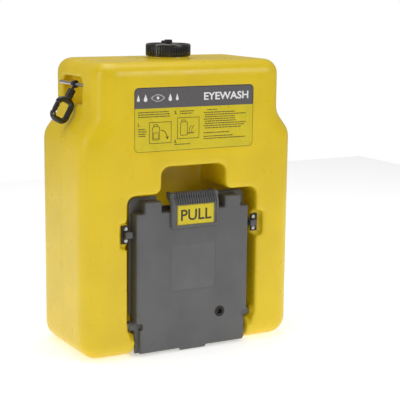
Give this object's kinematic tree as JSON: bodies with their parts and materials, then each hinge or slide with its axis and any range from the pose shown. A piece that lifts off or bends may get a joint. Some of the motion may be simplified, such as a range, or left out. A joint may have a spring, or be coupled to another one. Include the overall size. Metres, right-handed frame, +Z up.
{
  "type": "portable gravity-fed eyewash station",
  "caption": "Portable eyewash station: hollow water tank with a drop-down tray that opens the valve and feeds upward nozzles, screw filler cap, spring catches and side snap hooks.",
  "frame": {"origin": "bottom centre of the closed station", "axes": "+X to the user's right when facing the station, +Y to its back, +Z up"},
  "size_m": [0.4344, 0.204, 0.5226],
  "materials": {
    "tank_plastic": "satin moulded polyethylene",
    "label_film": "printed film",
    "black_plastic": "moulded",
    "grey_plastic": "fine texture",
    "steel": "plain",
    "rubber": "moulded",
    "yellow_label": "printed film",
    "white_plastic": "moulded",
    "clear_tube": "moulded",
    "green_plastic": "moulded",
    "black_metal": "black powder coat"
  },
  "bodies": {
    "tank": {"tank_shell": "tank_plastic", "instruction_label": "label_film", "catch_plate_left": "black_plastic", "catch_plate_right": "black_plastic", "catch_screws": "steel", "catch_spring_left": "steel", "catch_spring_right": "steel", "anchor_bar_left": "black_metal", "anchor_bar_right": "black_metal", "outlet_fitting": "black_plastic", "outlet_gasket": "rubber", "outlet_nut": "black_plastic", "strainer": "white_plastic", "supply_tube": "clear_tube", "valve_body": "white_plastic", "hinge_pin_left": "steel", "hinge_pin_right": "steel"},
    "tray": {"tray_shell": "grey_plastic", "pull_handle": "grey_plastic", "pull_label": "yellow_label", "handle_screws": "steel", "drain_grommet": "rubber", "valve_spool": "white_plastic", "valve_seals": "rubber", "riser_pipe": "white_plastic", "nozzle_left": "green_plastic", "nozzle_right": "green_plastic", "nozzle_screens": "white_plastic", "pipe_clips": "white_plastic", "hinge_bush_left": "white_plastic", "hinge_bush_right": "white_plastic"},
    "cap_seal": {"cap_gasket": "rubber"},
    "cap": {"filler_cap": "black_plastic", "vent_washer": "rubber"},
    "vent": {"vent_knob": "black_plastic", "vent_clip": "steel"},
    "catch_left": {"catch_bolt_left": "grey_plastic"},
    "catch_right": {"catch_bolt_right": "grey_plastic"},
    "swivel_left": {"hook_swivel_left": "black_metal"},
    "hook_left": {"snap_hook_left": "black_metal", "gate_pin_left": "steel"},
    "gate_left": {"hook_gate_left": "black_metal"},
    "swivel_right": {"hook_swivel_right": "black_metal"},
    "hook_right": {"snap_hook_right": "black_metal", "gate_pin_right": "steel"},
    "gate_right": {"hook_gate_right": "black_metal"}
  },
  "joints": [
    {"name": "tray_hinge", "type": "hinge", "parent": "tank", "child": "tray", "pos_m": [0, -0.077, 0.051], "axis": [1, 0, 0], "range_deg": [0, 90]},
    {"name": "cap_rise", "type": "slide", "parent": "tank", "child": "cap_seal", "axis": [0, 0, 1], "range_m": [0, 0.009]},
    {"name": "cap_turn", "type": "hinge", "parent": "cap_seal", "child": "cap", "pos_m": [0, 0.0035, 0.5], "axis": [0, 0, 1], "range_deg": [0, 540]},
    {"name": "vent_turn", "type": "hinge", "parent": "cap", "child": "vent", "pos_m": [0, 0.0035, 0.515], "axis": [0, 0, 1], "range_deg": [0, 90]},
    {"name": "catch_slide_left", "type": "slide", "parent": "tank", "child": "catch_left", "axis": [-1, 0, 0], "range_m": [0, 0.005], "stiffness_N_per_m": 600, "springref_m": -0.003, "deforming": ["catch_spring_left"]},
    {"name": "hook_swing_left", "type": "hinge", "parent": "tank", "child": "swivel_left", "pos_m": [-0.173, 0.0035, 0.452], "axis": [0, 1, 0], "range_deg": [0, 100]},
    {"name": "hook_swivel_left", "type": "hinge", "parent": "swivel_left", "child": "hook_left", "pos_m": [-0.173, 0.0035, 0.452], "axis": [-0.4848, 0, -0.8746], "range_deg": [-90, 90]},
    {"name": "gate_swing_left", "type": "hinge", "parent": "hook_left", "child": "gate_left", "pos_m": [-0.21326, 0.0035, 0.40515], "axis": [0, 1, 0], "range_deg": [0, 30], "stiffness_Nm_per_rad": 0.03, "springref_deg": -17.19},
    {"name": "catch_slide_right", "type": "slide", "parent": "tank", "child": "catch_right", "axis": [1, 0, 0], "range_m": [0, 0.005], "stiffness_N_per_m": 600, "springref_m": -0.003, "deforming": ["catch_spring_right"]},
    {"name": "hook_swing_right", "type": "hinge", "parent": "tank", "child": "swivel_right", "pos_m": [0.173, 0.0035, 0.452], "axis": [0, -1, 0], "range_deg": [0, 100]},
    {"name": "hook_swivel_right", "type": "hinge", "parent": "swivel_right", "child": "hook_right", "pos_m": [0.173, 0.0035, 0.452], "axis": [0.4848, 0, -0.8746], "range_deg": [-90, 90]},
    {"name": "gate_swing_right", "type": "hinge", "parent": "hook_right", "child": "gate_right", "pos_m": [0.21326, 0.0035, 0.40515], "axis": [0, -1, 0], "range_deg": [0, 30], "stiffness_Nm_per_rad": 0.03, "springref_deg": -17.19}
  ],
  "couplings": [
    {"joint": "cap_rise", "follows": "cap_turn", "m_per_rad": 0.000954}
  ]
}
